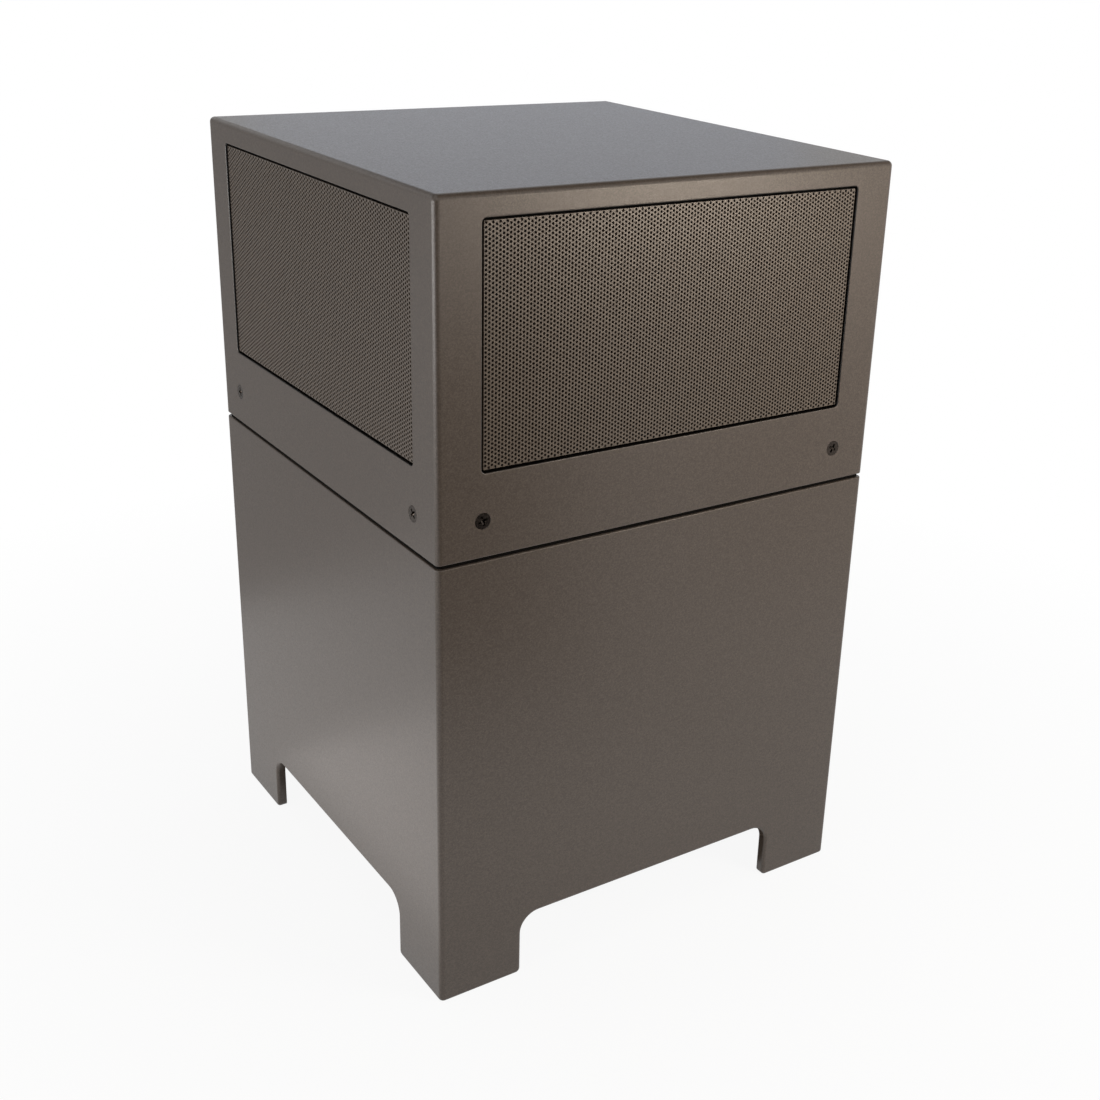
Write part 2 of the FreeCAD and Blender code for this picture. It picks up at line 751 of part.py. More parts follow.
def dust_cap(size):
    """The domed cap glued over the neck of the cone."""
    r = driver_radii(size)
    z = driver_levels(size)
    slope = (z.seat - z.neck) / (r.cone - r.neck)
    edge = r.neck + size.cap_overlap
    low = z.neck + size.cap_overlap * slope + glue_line
    ball = (edge ** 2 + size.cap_rise ** 2) / (2 * size.cap_rise)
    centre = low + size.cap_rise - ball
    dome = Part.makeSphere(ball, vector(0, 0, centre))
    dome = dome.cut(Part.makeSphere(ball - surround_sheet, vector(0, 0, centre)))
    keep = cylinder(2 * (edge + overshoot), low, low + size.cap_rise + overshoot)
    return dome.common(keep)


driver_pieces = {"basket": basket, "magnet": magnet, "voice_coil": voice_coil, "spider": spider,
                 "cone": cone, "surround": surround, "dust_cap": dust_cap}


def driver_screws():
    """The screws round the rim of each wide-band driver."""
    screw = pan_screw(driver_screw_head, driver_screw_shank, driver_screw_length)
    screws = []
    for side in side_turn:
        for x, y in driver_screw_places(driver_diameter, driver_land, driver_screw_count):
            placed = screw.copy()
            placed.translate(vector(x, y))
            screws.append(on_side(placed, side, window_middle, baffle_depth))
    return Part.makeCompound(screws)


def facing_down(shape):
    """Turns a shape drawn facing up to face down from the woofer's rim."""
    placed = shape.copy()
    placed.rotate(origin, across, 180)
    placed.translate(vector(0, 0, board_low - woofer_flange_thickness))
    return placed


def woofer_screws():
    """The screws round the rim of the woofer."""
    screw = pan_screw(woofer_screw_head, woofer_screw_shank, woofer_screw_length)
    screws = []
    for x, y in driver_screw_places(woofer_diameter, woofer_land, woofer_screw_count):
        placed = screw.copy()
        placed.translate(vector(x, y))
        screws.append(facing_down(placed))
    return Part.makeCompound(screws)


def write(node, shape):
    """Writes one piece, or one group of like fasteners, to its own file."""
    shape.exportStep(os.path.join("parts", node + ".step"))


for make in (base_shell, base_ledges, head_shell, head_screws, deck_plate, chassis_frame, baffle_box,
             baffle_lid, bottom_board, terminal_cup, binding_posts, crossover_panel, inductor_coil,
             capacitors, frame_screws, driver_screws, woofer_screws):
    write(make.__name__, make())

for side in side_turn:
    write("grille_" + side, on_side(grille(), side, window_middle, grille_setback))
    write("grille_frame_" + side, on_side(grille_frame(), side, window_middle, frame_front_depth))

for piece, make in driver_pieces.items():
    write("woofer_" + piece, facing_down(make(woofer)))
    for side in side_turn:
        write("driver_" + piece + "_" + side, on_side(make(wide_band), side, window_middle, baffle_depth))
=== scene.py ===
import json
import math

import bpy
import numpy as np
from mathutils import Matrix, Vector


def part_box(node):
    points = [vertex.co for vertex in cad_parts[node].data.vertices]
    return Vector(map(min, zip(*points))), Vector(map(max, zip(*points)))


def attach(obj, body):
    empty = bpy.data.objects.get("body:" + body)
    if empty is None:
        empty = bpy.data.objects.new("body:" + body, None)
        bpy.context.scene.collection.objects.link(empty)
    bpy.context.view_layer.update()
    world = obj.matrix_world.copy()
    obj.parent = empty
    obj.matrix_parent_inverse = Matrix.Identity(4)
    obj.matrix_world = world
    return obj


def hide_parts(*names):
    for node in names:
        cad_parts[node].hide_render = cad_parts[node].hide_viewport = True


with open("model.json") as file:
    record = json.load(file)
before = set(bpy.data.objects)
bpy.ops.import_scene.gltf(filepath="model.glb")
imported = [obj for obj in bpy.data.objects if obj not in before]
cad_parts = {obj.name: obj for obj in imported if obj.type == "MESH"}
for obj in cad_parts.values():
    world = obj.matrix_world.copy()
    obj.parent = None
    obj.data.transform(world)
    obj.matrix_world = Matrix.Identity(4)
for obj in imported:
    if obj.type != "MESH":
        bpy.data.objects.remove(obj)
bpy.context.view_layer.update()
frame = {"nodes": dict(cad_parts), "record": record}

MM = 0.001

# Sides of the pedestal and their turns about the upright axis, degrees
SIDES = {"front": 0, "right": 90, "back": 180, "left": 270}

# Perforated sheet of the grilles, millimetres: round holes in staggered columns, close-packed up the panel
HOLE_PITCH = 2.381
HOLE_DIAMETER = 1.588
HOLE_MARGIN = 0.2

# Countersunk cross-recess screws of the head, millimetres
SCREW_HEAD = 9.6
SCREW_SHANK = 5.0
SCREW_LENGTH = 16.0
SCREW_SINK = 0.1
SCREW_RIM = 0.1
RECESS_REACH = 2.75
RECESS_WIDTH = 1.25
RECESS_DEPTH = 2.2
RECESS_EDGE = 0.22
RECESS_TAPER = 0.55
FACE_RINGS = 34
ROUND_STEPS = 96
SCREW_INSET = 27.7
SCREW_HEIGHT = 21.3
SCREW_TURNS = {"front": (20, 62), "right": (75, 8), "back": (33, 50), "left": (12, 40)}

# Painted shade on the cut edges of the head's windows, millimetres: how far they lie behind the faces and
# outside the grilles
CUT_EDGE_DEPTH = 0.2
CUT_EDGE_REACH = 2.5

# Welded meshes: decimals of a millimetre that tell points apart, and twice the area that a face has to pass
WELD_DECIMALS = 6
LEAST_TWICE_AREA = 1e-6

# Backdrop, metres: the floor's reach, where its plain white grows from a share to all, and the world's light
FLOOR_REACH = 4.0
FLOOR_FADE = (0.2, 0.75)
FLOOR_WHITE = 0.92
FLOOR_PAPER = (0.9, 0.9, 0.9, 1)
WHITE = (1, 1, 1, 1)
WORLD_LEVEL = 0.31

# Cards that only a sheen shows, metres: one corner, the edges across and up, brightness and colour
CARDS = {
    "back_left_card": ((-0.52, 0.44, 0.0), (0.34, 0, 0), (0, 0, 0.6), 0.47, "#FFFFFF"),
    "front_card": ((-0.20, -0.50, 0.0), (0.34, 0, 0), (0, 0, 0.32), 0.05, "#FFFFFF"),
    "front_end_card": ((0.30, -0.50, 0.03), (0.25, 0, 0), (0, 0, 0.24), 0.6, "#FFFFFF"),
    "corner_card": ((-0.70, -0.62, 0.0), (0.5, 0, 0), (0, 0, 0.55), 0.03, "#FFFFFF"),
    "far_card": ((0.3, 2.9, 1.2), (3.0, 0, 0), (0, 0, 1.2), 0.56, "#FFFFFF"),
    "ceiling_card": ((0.0, -1.2, 1.6), (1.6, 0, 0), (0, 1.7, 0), 0.04, "#FFFFFF"),
    "ceiling_left_card": ((-1.4, 0.5, 1.6), (1.7, 0, 0), (0, 1.6, 0), 0.1, "#FFFFFF"),
    "under_card": ((-0.14, -0.14, 0.002), (0.28, 0, 0), (0, 0.28, 0), 0.03, "#FFFFFF"),
    "left_card": ((-0.95, -0.38, 0.18), (0, 0.90, 0), (0, 0, 0.25), 6.8, "#FFFFFF"),
    "front_right_card": ((0.228, -0.70, 0.365), (0.184, 0.12, 0), (0, 0, 0.11), 14.5, "#FFF1DF"),
}

# Lamps, metres and watts: place, the point they face, size, power, colour, and whether a sheen shows them
LAMPS = {
    "overhead": ((0.0, 0.2, 2.0), (0, 0, 0.4), (1.6, 1.6), 4.0, "#FFFFFF", False),
    "front_right": ((0.32, -0.64, 0.475), (0.0, -0.15, 0.47), (0.22, 0.11), 2.1, "#FFF7EA", False),
    "left_side": ((-1.25, -0.05, 0.30), (-0.15, 0.0, 0.40), (1.2, 0.45), 3.0, "#FFF8F2", False),
    "left_floor": ((-0.33, 0.00, 0.003), (-0.33, 0.00, 1.0), (0.28, 0.32), 0.19, "#FFF8F4", True),
    "front_floor": ((0.0, -0.33, 0.003), (0.0, -0.33, 1.0), (0.3, 0.2), 0.02, "#FFF8F4", True),
    "cool_back": ((0.9, 1.5, 0.9), (0, 0, 0.45), (1.0, 0.8), 0.45, "#74AEF8", True),
}

# Camera, metres: its place, the way it looks and the picture's right; lens and film width in millimetres
CAMERA_PLACE = (-0.4932, -0.8019, 0.611)
CAMERA_FORWARD = (0.5341, 0.7567, -0.377)
CAMERA_RIGHT = (0.8251, -0.5637, 0.0376)
CAMERA_LENS = 49.127
CAMERA_FILM = 36.0
CAMERA_SHIFT = (-0.0639, -0.0221)


# Meshes

def on_side(points, side, face, height):
    """Millimetre points drawn x across, y up, z outward, stood on one side of the pedestal.

    (x, y, z) goes to (x, -face - z, height + y) at the front, then turns about the upright axis by the
    side's angle, and the result is in metres.
    """
    x, y, z = points.T
    turn = math.radians(SIDES[side])
    cosine, sine = math.cos(turn), math.sin(turn)
    out = -face - z
    return np.stack([x * cosine - out * sine, x * sine + out * cosine, height + y], axis=1) * MM


def new_piece(name, points, faces, replaced):
    """A mesh object at the origin that rides with the cabinet and stands for CAD nodes."""
    mesh = bpy.data.meshes.new(name)
    mesh.from_pydata(points.tolist(), [], faces.tolist())
    mesh.validate()
    piece = bpy.data.objects.new(name, mesh)
    bpy.context.scene.collection.objects.link(piece)
    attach(piece, "root")
    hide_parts(*replaced)
    return piece


def perforated_sheet(width, height, thickness):
    """A closed sheet full of hexagonal holes that have the area of the round ones.

    Cell (i, j) of a close-packed lattice is centred at x = i * step and y = j * pitch, with every other
    column half a pitch higher. Its six corners lie at the radius R for which the hexagon's area,
    3 * sqrt(3) / 2 * R * R, is that of the round hole. The step is pitch * sqrt(3) / 2, and step and pitch
    are drawn out or in a little so that the holes come up to the margin. Two triangles join the facing
    sides of neighbouring cells, and one fills each meeting of three. The outermost cells have no hole:
    their corners are laid on the edge of the sheet. The back repeats the front at the sheet's thickness,
    and a wall stands on every edge that only one front triangle uses.
    """
    step = HOLE_PITCH * math.sqrt(3) / 2
    radius = HOLE_DIAMETER / 2 * math.sqrt(2 * math.pi / (3 * math.sqrt(3)))
    across = width - 2 * HOLE_MARGIN - 2 * radius
    upright = height - 2 * HOLE_MARGIN - math.sqrt(3) * radius
    columns = round(across / step) + 1
    rows = round(upright / HOLE_PITCH + 0.5)
    step = across / (columns - 1)
    pitch = upright / (rows - 0.5)
    i, j = np.meshgrid(np.arange(columns + 2), np.arange(rows + 2), indexing="ij")
    lift = np.where(i % 2 == 1, 0.25, -0.25)
    turn = np.radians(60 * np.arange(6))
    x = ((i - (columns + 1) / 2) * step)[..., None] + radius * np.cos(turn)
    y = ((j - (rows + 1) / 2 + lift) * pitch)[..., None] + radius * np.sin(turn)
    x[0], x[-1] = -width / 2, width / 2
    y[:, 0], y[:, -1] = -height / 2, height / 2

    corner = np.arange(x.size).reshape(x.shape)
    here = corner[:-1].reshape(-1, 6)
    column, row = i[:-1].ravel(), j[:-1].ravel()
    higher, last = row + column % 2, rows + 1
    above = corner[column, np.minimum(row + 1, last)]
    right_up = corner[column + 1, np.minimum(higher, last)]
    right_down = corner[column + 1, np.maximum(higher - 1, 0)]
    has_above, has_up, has_down = row < last, higher <= last, higher > 0
    triangles = np.concatenate([
        np.stack([here[:, 1], above[:, 5], above[:, 4]], 1)[has_above],
        np.stack([here[:, 1], above[:, 4], here[:, 2]], 1)[has_above],
        np.stack([here[:, 0], right_up[:, 4], right_up[:, 3]], 1)[has_up],
        np.stack([here[:, 0], right_up[:, 3], here[:, 1]], 1)[has_up],
        np.stack([here[:, 5], right_down[:, 3], right_down[:, 2]], 1)[has_down],
        np.stack([here[:, 5], right_down[:, 2], here[:, 0]], 1)[has_down],
        np.stack([here[:, 0], right_down[:, 2], right_up[:, 4]], 1)[has_up & has_down],
        np.stack([here[:, 1], right_up[:, 3], above[:, 5]], 1)[has_above & has_up],
    ])

    flat = np.stack([x.ravel(), y.ravel()], 1).round(WELD_DECIMALS)
    flat, welded = np.unique(flat, axis=0, return_inverse=True)
    triangles = welded.ravel()[triangles]
    a, b, c = flat[triangles[:, 0]], flat[triangles[:, 1]], flat[triangles[:, 2]]
    twice_area = (b[:, 0] - a[:, 0]) * (c[:, 1] - a[:, 1]) - (b[:, 1] - a[:, 1]) * (c[:, 0] - a[:, 0])
    triangles = triangles[twice_area > LEAST_TWICE_AREA]

    count = len(flat)
    starts, ends = triangles.ravel(), np.roll(triangles, -1, axis=1).ravel()
    lone = ~np.isin(starts * count + ends, ends * count + starts)
    starts, ends = starts[lone], ends[lone]
    walls = np.concatenate([np.stack([ends, starts, starts + count], 1),
                            np.stack([ends, starts + count, ends + count], 1)])
    front = np.column_stack([flat, np.zeros(count)])
    back = np.column_stack([flat, np.full(count, -thickness)])
    points = np.concatenate([front, back])
    skin = np.concatenate([triangles, triangles[:, ::-1] + count, walls])
    used, faces = np.unique(skin, return_inverse=True)
    return points[used], faces.reshape(-1, 3)


def screw_rings(turn):
    """A countersunk screw as rings of points about its axis, from the middle of its face to its end.

    The face is a grid of radius and angle. Its depth is the larger of two crossed slots, each a soft step
    across its width and along its reach, deepest at the middle. Outside the face the rings follow the
    cone of the head and the shank. The first and the last ring have no radius.
    """
    angle = np.linspace(0, 2 * math.pi, ROUND_STEPS, endpoint=False)
    face_radius = np.linspace(0, SCREW_HEAD / 2 - 2 * SCREW_RIM, FACE_RINGS)
    radius, theta = np.meshgrid(face_radius, angle, indexing="ij")
    depth = np.zeros_like(radius)
    for arm in (0, math.pi / 2):
        along = np.abs(radius * np.cos(theta - turn - arm))
        across = np.abs(radius * np.sin(theta - turn - arm))
        slot = np.clip((RECESS_WIDTH / 2 - across) / RECESS_EDGE + 0.5, 0, 1)
        slot = slot * np.clip((RECESS_REACH - along) / RECESS_EDGE + 0.5, 0, 1)
        floor = RECESS_DEPTH * (1 - RECESS_TAPER * np.minimum(along / RECESS_REACH, 1))
        depth = np.maximum(depth, slot * floor)
    cone_end = -SCREW_SINK - (SCREW_HEAD - SCREW_SHANK) / 2
    body = np.array([(SCREW_HEAD / 2 - SCREW_RIM, -SCREW_SINK - SCREW_RIM), (SCREW_SHANK / 2, cone_end),
                     (SCREW_SHANK / 2, -SCREW_LENGTH), (0, -SCREW_LENGTH)])
    radius = np.concatenate([radius, np.repeat(body[:, :1], ROUND_STEPS, axis=1)])
    height = np.concatenate([-SCREW_SINK - depth, np.repeat(body[:, 1:], ROUND_STEPS, axis=1)])
    return np.stack([radius * np.cos(angle), radius * np.sin(angle), height], axis=-1)


def closed_rings(grid):
    """The closed skin over rings of points.

    Two triangles fill the space between neighbours on two rings. Points of one place are welded, and
    triangles that lose a side by it, at the poles, are left out.
    """
    rings, count = grid.shape[:2]
    ring, place = np.meshgrid(np.arange(rings - 1), np.arange(count), indexing="ij")
    here, beside = ring * count + place, ring * count + (place + 1) % count
    triangles = np.concatenate([np.stack([here, here + count, beside + count], -1).reshape(-1, 3),
                                np.stack([here, beside + count, beside], -1).reshape(-1, 3)])
    flat = grid.reshape(-1, 3).round(WELD_DECIMALS)
    points, welded = np.unique(flat, axis=0, return_inverse=True)
    triangles = welded.ravel()[triangles]
    sides = np.roll(triangles, -1, axis=1)
    return points, triangles[(triangles != sides).all(axis=1)]


def grille_panel(side):
    """The perforated panel of one side, with the size and place of its CAD node."""
    low, high = np.array(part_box("grille_" + side), dtype=float)
    size = (high - low) / MM
    thin = int(np.argmin(size[:2]))
    face = max(abs(low[thin]), abs(high[thin])) / MM
    points, faces = perforated_sheet(size[1 - thin], size[2], size[thin])
    points = on_side(points, side, face, (low[2] + high[2]) / 2 / MM)
    return new_piece("perforated_" + side, points, faces, ["grille_" + side])


def head_screw_set():
    """All eight screws of the head as one piece."""
    low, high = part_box("head_shell")
    face = float(high[0]) / MM
    points, faces, count = [], [], 0
    for side in SIDES:
        for column, turn in zip((-1, 1), SCREW_TURNS[side]):
            screw, skin = closed_rings(screw_rings(math.radians(turn)))
            placed = screw + np.array([column * (face - SCREW_INSET), 0, 0])
            points.append(on_side(placed, side, face, float(low[2]) / MM + SCREW_HEIGHT))
            faces.append(skin + count)
            count += len(screw)
    return new_piece("cross_recess_screws", np.concatenate(points), np.concatenate(faces),
                     ["head_screws"])


# Materials

def linear(colour):
    """An sRGB hex colour as linear RGBA."""
    parts = np.array([int(colour[k:k + 2], 16) for k in (1, 3, 5)]) / 255
    values = np.where(parts <= 0.04045, parts / 12.92, ((parts + 0.055) / 1.055) ** 2.4)
    return (*values.tolist(), 1.0)


def per_mm(size):
    """The texture scale whose pattern repeats about every so many millimetres."""
    return 1 / (size * MM)


def bands_per_mm(size):
    """The scale at which the bands of a wave texture repeat every so many millimetres.

    At scale 1 they repeat every pi / 10 of a metre.
    """
    return math.pi / 10 / (size * MM)


def add(material, kind, inputs=None, **settings):
    """Adds one node with its settings; an input is a value or the output socket of another node."""
    made = material.node_tree.nodes.new(kind)
    for name, value in settings.items():
        setattr(made, name, value)
    for name, value in (inputs or {}).items():
        if isinstance(value, bpy.types.NodeSocket):
            material.node_tree.links.new(value, made.inputs[name])
        else:
            made.inputs[name].default_value = value
    return made


def start(name, **sockets):
    """A new material, its shader with constant sockets set, and the position on the piece."""
    made = bpy.data.materials.new(name)
    made.use_nodes = True
    shader = made.node_tree.nodes["Principled BSDF"]
    for socket, value in sockets.items():
        shader.inputs[socket.replace("_", " ")].default_value = value
    position = add(made, "ShaderNodeTexCoord").outputs["Object"]
    return made, shader, position


def join(material, output, shader, socket):
    """Links a pattern to a socket of the shader."""
    material.node_tree.links.new(output, shader.inputs[socket])


def painted_shade_on_cut_edges(made, position):
    """An output that is 1 on the cut edges of the head's windows, where the coat gets a painted shade, and 0
    elsewhere on the outside.

    With the larger of |x| and |y| as the way out of the nearest side and the smaller as the way along it,
    a point is on a cut edge where it lies behind the face and within a grille's outline grown a little.
    """
    low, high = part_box("grille_front")
    face = float(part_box("head_shell")[1][0])
    place = add(made, "ShaderNodeSeparateXYZ", {"Vector": position}).outputs
    x, y = [add(made, "ShaderNodeMath", {0: place[axis]}, operation="ABSOLUTE").outputs["Value"]
            for axis in "XY"]
    out = add(made, "ShaderNodeMath", {0: x, 1: y}, operation="MAXIMUM").outputs["Value"]
    along = add(made, "ShaderNodeMath", {0: x, 1: y}, operation="MINIMUM").outputs["Value"]
    reach = CUT_EDGE_REACH * MM
    tests = [
        ("LESS_THAN", out, face - CUT_EDGE_DEPTH * MM),
        ("LESS_THAN", along, float(high[0]) + reach),
        ("GREATER_THAN", place["Z"], float(low[2]) - reach),
        ("LESS_THAN", place["Z"], float(high[2]) + reach),
    ]
    share = 1.0
    for test, value, limit in tests:
        held = add(made, "ShaderNodeMath", {0: value, 1: limit}, operation=test).outputs["Value"]
        share = add(made, "ShaderNodeMath", {0: share, 1: held}, operation="MULTIPLY").outputs["Value"]
    return share


def powder_coat(name, dark, light, painted_edge_shade=None):
    """Fine-textured metallic powder coat, baked on: a satin skin with an even sand-like grain, small bright
    flakes, and a soft sheen that whitens at a low angle. Grain and flakes are drawn as coarse as they need
    to show. The cut edges inside the windows may take a near-black painted shade for the shadow there."""
    made, shader, position = start(name, IOR=1.5)
    grain = add(made, "ShaderNodeTexNoise", {"Vector": position, "Scale": per_mm(0.9), "Detail": 3.0,
                                             "Roughness": 0.6})
    flakes = add(made, "ShaderNodeTexVoronoi", {"Vector": position, "Scale": per_mm(0.7)})
    spark = add(made, "ShaderNodeSeparateColor", {"Color": flakes.outputs["Color"]})
    amount = add(made, "ShaderNodeMath", {0: spark.outputs["Red"], 1: grain.outputs["Fac"]},
                 operation="MULTIPLY")
    tone = add(made, "ShaderNodeMixRGB", {"Fac": amount.outputs["Value"], "Color1": linear(dark),
                                          "Color2": linear(light)})
    # Painted shade: the cut edges inside the windows are darkened to near black, standing in for the shadow
    # that falls there.
    if painted_edge_shade:
        tone = add(made, "ShaderNodeMixRGB", {"Fac": painted_shade_on_cut_edges(made, position),
                                              "Color1": tone.outputs["Color"], "Color2": linear(painted_edge_shade)})
    join(made, tone.outputs["Color"], shader, "Base Color")
    gloss = add(made, "ShaderNodeMapRange", {"Value": spark.outputs["Green"], "To Min": 0.29,
                                             "To Max": 0.39})
    join(made, gloss.outputs["Result"], shader, "Roughness")
    bump = add(made, "ShaderNodeBump", {"Height": grain.outputs["Fac"], "Strength": 0.5,
                                        "Distance": 0.06 * MM})
    join(made, bump.outputs["Normal"], shader, "Normal")
    return made


def black_coat():
    """Matt black powder coat on pressed steel: nearly no sheen and a faint sand grain, drawn as
    coarse as it needs to show."""
    made, shader, position = start("matt_black_coat", Roughness=0.85, Specular_IOR_Level=0.1)
    grain = add(made, "ShaderNodeTexNoise", {"Vector": position, "Scale": per_mm(0.8), "Detail": 2.0})
    tone = add(made, "ShaderNodeMixRGB", {"Fac": grain.outputs["Fac"], "Color1": linear("#080706"),
                                          "Color2": linear("#0F0C0A")})
    join(made, tone.outputs["Color"], shader, "Base Color")
    bump = add(made, "ShaderNodeBump", {"Height": grain.outputs["Fac"], "Strength": 0.3,
                                        "Distance": 0.05 * MM})
    join(made, bump.outputs["Normal"], shader, "Normal")
    return made


def black_oxide():
    """Black oxide on steel screws: a dark satin metal with an oily, slightly uneven sheen."""
    made, shader, position = start("black_oxide_steel", Metallic=1.0)
    cloud = add(made, "ShaderNodeTexNoise", {"Vector": position, "Scale": per_mm(1.5), "Detail": 3.0})
    tone = add(made, "ShaderNodeMixRGB", {"Fac": cloud.outputs["Fac"], "Color1": linear("#352E29"),
                                          "Color2": linear("#544C46")})
    join(made, tone.outputs["Color"], shader, "Base Color")
    gloss = add(made, "ShaderNodeMapRange", {"Value": cloud.outputs["Fac"], "To Min": 0.22, "To Max": 0.33})
    join(made, gloss.outputs["Result"], shader, "Roughness")
    return made


def zinc_plate():
    """Zinc plating on steel screws: a bright bluish metal, clouded where the bath left it thinner."""
    made, shader, position = start("zinc_plated_steel", Metallic=1.0)
    cloud = add(made, "ShaderNodeTexNoise", {"Vector": position, "Scale": per_mm(2.0), "Detail": 2.0})
    tone = add(made, "ShaderNodeMixRGB", {"Fac": cloud.outputs["Fac"], "Color1": linear("#A9AAA6"),
                                          "Color2": linear("#C9CACB")})
    join(made, tone.outputs["Color"], shader, "Base Color")
    gloss = add(made, "ShaderNodeMapRange", {"Value": cloud.outputs["Fac"], "To Min": 0.25, "To Max": 0.42})
    join(made, gloss.outputs["Result"], shader, "Roughness")
    return made


def mill_aluminium():
    """Mill-finish aluminium plate: dull silver with fine rolling lines along its length."""
    made, shader, position = start("mill_finish_aluminium", Metallic=1.0)
    drawn = add(made, "ShaderNodeMapping", {"Vector": position,
                                            "Scale": (per_mm(60), per_mm(0.6), per_mm(0.6))})
    lines = add(made, "ShaderNodeTexNoise", {"Vector": drawn.outputs["Vector"], "Scale": 1.0,
                                             "Detail": 4.0})
    tone = add(made, "ShaderNodeMixRGB", {"Fac": lines.outputs["Fac"], "Color1": linear("#B4B4B1"),
                                          "Color2": linear("#D2D2CF")})
    join(made, tone.outputs["Color"], shader, "Base Color")
    gloss = add(made, "ShaderNodeMapRange", {"Value": lines.outputs["Fac"], "To Min": 0.3, "To Max": 0.5})
    join(made, gloss.outputs["Result"], shader, "Roughness")
    return made


def painted_board():
    """Fibreboard painted black: flat, with the fine swollen fibre that a thin coat leaves."""
    made, shader, position = start("black_painted_board", Roughness=0.72)
    fibre = add(made, "ShaderNodeTexNoise", {"Vector": position, "Scale": per_mm(1.6), "Detail": 5.0})
    tone = add(made, "ShaderNodeMixRGB", {"Fac": fibre.outputs["Fac"], "Color1": linear("#100F0E"),
                                          "Color2": linear("#211F1D")})
    join(made, tone.outputs["Color"], shader, "Base Color")
    bump = add(made, "ShaderNodeBump", {"Height": fibre.outputs["Fac"], "Strength": 0.4,
                                        "Distance": 0.08 * MM})
    join(made, bump.outputs["Normal"], shader, "Normal")
    return made


def hardboard():
    """Pressed hardboard: warm brown wood fibre, mottled, with a dull face."""
    made, shader, position = start("brown_hardboard", Roughness=0.66)
    fibre = add(made, "ShaderNodeTexNoise", {"Vector": position, "Scale": per_mm(1.2), "Detail": 6.0,
                                             "Distortion": 1.5})
    tone = add(made, "ShaderNodeMixRGB", {"Fac": fibre.outputs["Fac"], "Color1": linear("#6A4A2E"),
                                          "Color2": linear("#9A7148")})
    join(made, tone.outputs["Color"], shader, "Base Color")
    bump = add(made, "ShaderNodeBump", {"Height": fibre.outputs["Fac"], "Strength": 0.3,
                                        "Distance": 0.1 * MM})
    join(made, bump.outputs["Normal"], shader, "Normal")
    return made


def moulded_abs():
    """Moulded black ABS with a spark-eroded face: soft grey sheen broken by a fine pebble grain, drawn
    as coarse as it needs to show."""
    made, shader, position = start("moulded_black_abs", Roughness=0.5, IOR=1.53)
    pebble = add(made, "ShaderNodeTexVoronoi", {"Vector": position, "Scale": per_mm(0.6)})
    tone = add(made, "ShaderNodeMixRGB", {"Fac": pebble.outputs["Distance"], "Color1": linear("#161616"),
                                          "Color2": linear("#1F1F1F")})
    join(made, tone.outputs["Color"], shader, "Base Color")
    bump = add(made, "ShaderNodeBump", {"Height": pebble.outputs["Distance"], "Strength": 0.25,
                                        "Distance": 0.06 * MM})
    join(made, bump.outputs["Normal"], shader, "Normal")
    return made


def turned_brass():
    """Turned brass posts: warm yellow metal with fine tool rings round the axis, drawn as coarse as they
    need to show."""
    made, shader, position = start("turned_brass", Metallic=1.0)
    rings = add(made, "ShaderNodeTexWave", {"Vector": position, "Scale": bands_per_mm(0.987)},
                bands_direction="Z")
    tone = add(made, "ShaderNodeMixRGB", {"Fac": rings.outputs["Fac"], "Color1": linear("#B98F45"),
                                          "Color2": linear("#D8B468")})
    join(made, tone.outputs["Color"], shader, "Base Color")
    gloss = add(made, "ShaderNodeMapRange", {"Value": rings.outputs["Fac"], "To Min": 0.22, "To Max": 0.34})
    join(made, gloss.outputs["Result"], shader, "Roughness")
    return made


def wound_copper():
    """Enamelled copper wire in close turns: lacquered red-brown metal ribbed by each turn."""
    made, shader, position = start("enamelled_copper_wire", Metallic=0.9, Roughness=0.35, Coat_Weight=0.6,
                                   Coat_Roughness=0.15)
    turns = add(made, "ShaderNodeTexWave", {"Vector": position, "Scale": bands_per_mm(2.369)},
                bands_direction="Z", wave_profile="SIN")
    tone = add(made, "ShaderNodeMixRGB", {"Fac": turns.outputs["Fac"], "Color1": linear("#6E3418"),
                                          "Color2": linear("#C07A48")})
    join(made, tone.outputs["Color"], shader, "Base Color")
    bump = add(made, "ShaderNodeBump", {"Height": turns.outputs["Fac"], "Strength": 0.6,
                                        "Distance": 0.4 * MM})
    join(made, bump.outputs["Normal"], shader, "Normal")
    return made


def shrunk_sleeve():
    """Shrunk PVC sleeve on capacitor cans: smooth blue film with faint draw marks."""
    made, shader, position = start("blue_pvc_sleeve", IOR=1.53)
    drawn = add(made, "ShaderNodeMapping", {"Vector": position,
                                            "Scale": (per_mm(2), per_mm(2), per_mm(25))})
    marks = add(made, "ShaderNodeTexNoise", {"Vector": drawn.outputs["Vector"], "Scale": 1.0,
                                             "Detail": 2.0})
    tone = add(made, "ShaderNodeMixRGB", {"Fac": marks.outputs["Fac"], "Color1": linear("#22345E"),
                                          "Color2": linear("#2E4677")})
    join(made, tone.outputs["Color"], shader, "Base Color")
    gloss = add(made, "ShaderNodeMapRange", {"Value": marks.outputs["Fac"], "To Min": 0.22, "To Max": 0.4})
    join(made, gloss.outputs["Result"], shader, "Roughness")
    return made


def sintered_ferrite():
    """Sintered ferrite and its steel plates: charcoal grey, a faint ground sheen, and fine pores
    drawn as coarse as they need to show."""
    made, shader, position = start("sintered_ferrite", Metallic=0.3)
    pores = add(made, "ShaderNodeTexNoise", {"Vector": position, "Scale": per_mm(0.8), "Detail": 4.0})
    tone = add(made, "ShaderNodeMixRGB", {"Fac": pores.outputs["Fac"], "Color1": linear("#2E2E2F"),
                                          "Color2": linear("#4B4B4C")})
    join(made, tone.outputs["Color"], shader, "Base Color")
    gloss = add(made, "ShaderNodeMapRange", {"Value": pores.outputs["Fac"], "To Min": 0.45, "To Max": 0.65})
    join(made, gloss.outputs["Result"], shader, "Roughness")
    return made


